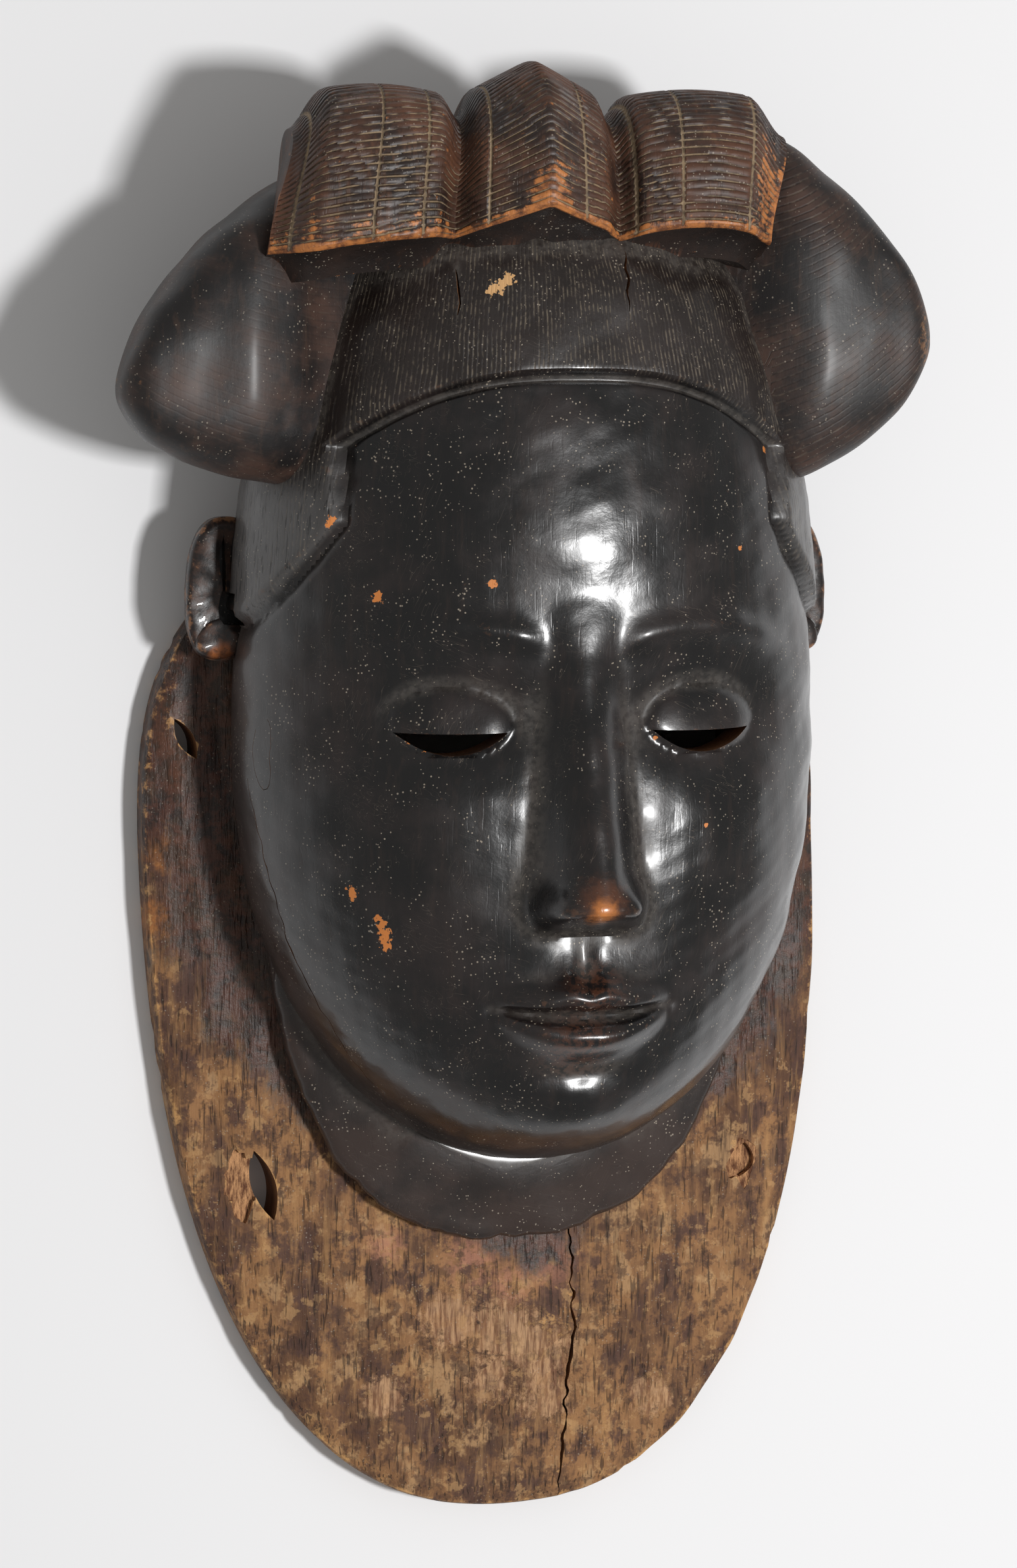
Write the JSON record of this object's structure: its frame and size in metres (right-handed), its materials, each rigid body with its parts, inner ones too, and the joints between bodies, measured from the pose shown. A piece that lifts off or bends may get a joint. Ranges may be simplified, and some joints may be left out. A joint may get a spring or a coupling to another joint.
{
  "type": "yaure mask",
  "caption": "Carved dark wood face mask with a calm face, a ridged crest of tresses, side buns, ears and a long flange, lying on its flat back.",
  "frame": {"origin": "middle of the box in X and Y, on the surface that the flat back rim lies on", "axes": "+Z is the way the face looks, +Y runs from the flange's end to the crest, +X is to the right as the camera looks down on the face"},
  "size_m": [0.223, 0.4005, 0.1123],
  "materials": {
    "wood": "near-black handled patina over brown hardwood, with worn edges and a raw brown flange"
  },
  "bodies": {
    "root": {"mask": "wood"}
  },
  "joints": []
}
